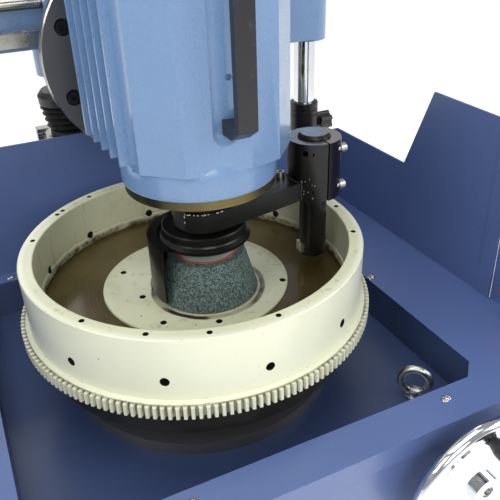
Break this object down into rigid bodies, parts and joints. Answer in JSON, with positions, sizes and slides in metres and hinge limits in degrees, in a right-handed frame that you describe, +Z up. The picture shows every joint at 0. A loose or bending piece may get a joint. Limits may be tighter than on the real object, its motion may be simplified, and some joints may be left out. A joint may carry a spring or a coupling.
{
  "type": "flywheel grinding machine",
  "caption": "Column grinding machine with a cup stone and turning arm over a cupped flywheel on a rotary table, inside a sheet-metal coolant tray with splash walls",
  "frame": {"origin": "on the floor, under the axis of the rotary table", "axes": "+Z up, +X to the operator's right, +Y away from the operator"},
  "size_m": [0.938, 0.8365, 1.7785],
  "materials": {
    "dark_blue_paint": "dark blue powder coat",
    "light_blue_paint": "light blue hammered enamel",
    "grey_paint": "dark grey enamel",
    "machined_steel": "turned and ground steel",
    "hard_chrome": "hard chromed and ground",
    "zinc": "bright zinc plate",
    "black_oxide": "black oxide",
    "black_plastic": "black moulded plastic",
    "black_rubber": "black rubber",
    "red_plastic": "red moulded plastic",
    "green_plastic": "green moulded plastic",
    "bronze": "bearing bronze",
    "cream_paint": "cream enamel over cast iron",
    "silicon_carbide": "green silicon carbide, coarse",
    "blotter_card": "red card blotter",
    "cast_iron": "dark oiled cast iron",
    "carbide": "ground insert"
  },
  "bodies": {
    "base": {"plinth": "grey_paint", "cabinet_shell": "dark_blue_paint", "deck_tray": "dark_blue_paint", "back_splash": "dark_blue_paint", "right_splash": "dark_blue_paint", "left_splash": "dark_blue_paint", "door_hinges": "black_oxide", "deck_screws": "zinc", "lifting_eyebolt": "zinc", "control_pillar": "dark_blue_paint", "column_left": "hard_chrome", "column_right": "hard_chrome", "foot_left": "machined_steel", "foot_right": "machined_steel", "column_gaiter": "black_rubber", "crosshead": "light_blue_paint", "table_housing": "grey_paint", "table_motor": "light_blue_paint", "drive_belt": "black_rubber"},
    "motor_pulley": {"motor_pulley": "machined_steel"},
    "door": {"door_panel": "dark_blue_paint"},
    "door_latch": {"door_latch": "black_plastic"},
    "stop_collar": {"stop_collar": "black_oxide"},
    "collar_knob": {"collar_knob": "black_plastic"},
    "stop_button": {"stop_button": "red_plastic"},
    "start_button": {"start_button": "green_plastic"},
    "feed_screw": {"feed_screw": "machined_steel"},
    "hand_feed": {"handwheel": "hard_chrome", "pinion_shaft": "machined_steel"},
    "handwheel_grip": {"handwheel_grip": "black_plastic"},
    "carriage": {"carriage": "light_blue_paint", "column_bushes": "bronze", "feed_nut": "bronze", "cross_rails": "machined_steel"},
    "cross_screw": {"cross_screw": "machined_steel", "cross_knob": "black_plastic"},
    "saddle": {"saddle": "light_blue_paint", "rail_blocks": "machined_steel"},
    "head": {"swivel_disc": "grey_paint", "swivel_screws": "black_oxide", "motor_housing": "light_blue_paint", "flange_ring": "machined_steel", "fan_cover": "light_blue_paint", "head_handle": "black_oxide", "spindle_nose": "black_oxide", "wheel_guard": "black_oxide", "spindle_bearings": "machined_steel"},
    "wheel": {"wheel_spindle": "machined_steel", "wheel_flange": "black_oxide", "blotter": "blotter_card", "cup_stone": "silicon_carbide", "wheel_nut": "zinc"},
    "tool_arm": {"tool_arm": "black_oxide", "clamp_screws": "zinc"},
    "tool_bar": {"tool_bar": "black_oxide", "tool_insert": "carbide"},
    "table": {"rotary_table": "cast_iron", "table_spindle": "machined_steel", "flywheel": "cream_paint", "ring_gear": "cream_paint"}
  },
  "joints": [
    {"name": "head_lift", "type": "slide", "parent": "base", "child": "carriage", "axis": [0, 0, 1], "range_m": [0, 0.22]},
    {"name": "feed_screw_turn", "type": "hinge", "parent": "base", "child": "feed_screw", "pos_m": [0.215, 0.35, 1.2], "axis": [0, 0, 1], "continuous": true},
    {"name": "handwheel_turn", "type": "hinge", "parent": "base", "child": "hand_feed", "pos_m": [0.215, -0.345, 0.816], "axis": [0, 1, 0], "continuous": true},
    {"name": "grip_spin", "type": "hinge", "parent": "hand_feed", "child": "handwheel_grip", "pos_m": [0.215, -0.38, 0.892], "axis": [0, 1, 0], "continuous": true},
    {"name": "cross_slide", "type": "slide", "parent": "carriage", "child": "saddle", "axis": [1, 0, 0], "range_m": [-0.1, 0.005]},
    {"name": "cross_screw_turn", "type": "hinge", "parent": "carriage", "child": "cross_screw", "pos_m": [0.2, 0.277, 1.312], "axis": [1, 0, 0], "continuous": true},
    {"name": "head_tilt", "type": "hinge", "parent": "saddle", "child": "head", "pos_m": [0.008, 0.18, 1.25], "axis": [0, 1, 0], "range_deg": [-1.5, 1.5]},
    {"name": "wheel_spin", "type": "hinge", "parent": "head", "child": "wheel", "pos_m": [0.008, -0.025, 1.147], "axis": [0, 0, 1], "continuous": true},
    {"name": "arm_swing", "type": "hinge", "parent": "head", "child": "tool_arm", "pos_m": [0.008, -0.025, 1.101], "axis": [0, 0, 1], "range_deg": [0, 28]},
    {"name": "tool_slide", "type": "slide", "parent": "tool_arm", "child": "tool_bar", "axis": [0, 0, 1], "range_m": [0, 0.06]},
    {"name": "table_spin", "type": "hinge", "parent": "base", "child": "table", "pos_m": [0, 0, 0.8], "axis": [0, 0, 1], "continuous": true},
    {"name": "motor_spin", "type": "hinge", "parent": "base", "child": "motor_pulley", "pos_m": [-0.19, 0.06, 0.64], "axis": [0, 0, 1], "continuous": true},
    {"name": "door_swing", "type": "hinge", "parent": "base", "child": "door", "pos_m": [-0.306, -0.313, 0.5], "axis": [0, 0, -1], "range_deg": [0, 110]},
    {"name": "latch_turn", "type": "hinge", "parent": "door", "child": "door_latch", "pos_m": [0.03, -0.308, 0.49], "axis": [0, 1, 0], "range_deg": [0, 90]},
    {"name": "collar_slide", "type": "slide", "parent": "base", "child": "stop_collar", "axis": [0, 0, 1], "range_m": [-0.03, 0.07]},
    {"name": "collar_knob_turn", "type": "hinge", "parent": "stop_collar", "child": "collar_knob", "pos_m": [0.4, 0.35, 1.032], "axis": [1, 0, 0], "range_deg": [0, 360]},
    {"name": "stop_push", "type": "slide", "parent": "base", "child": "stop_button", "axis": [1, 0, 0], "range_m": [0, 0.004], "stiffness_N_per_m": 600},
    {"name": "start_push", "type": "slide", "parent": "base", "child": "start_button", "axis": [0, 0.8218, -0.5698], "range_m": [0, 0.004], "stiffness_N_per_m": 600}
  ],
  "couplings": [
    {"joint": "feed_screw_turn", "follows": "head_lift", "rad_per_m": 314.16},
    {"joint": "handwheel_turn", "follows": "head_lift", "rad_per_m": 314.16},
    {"joint": "cross_screw_turn", "follows": "cross_slide", "rad_per_m": 628.32},
    {"joint": "motor_spin", "follows": "table_spin", "ratio": 2}
  ]
}
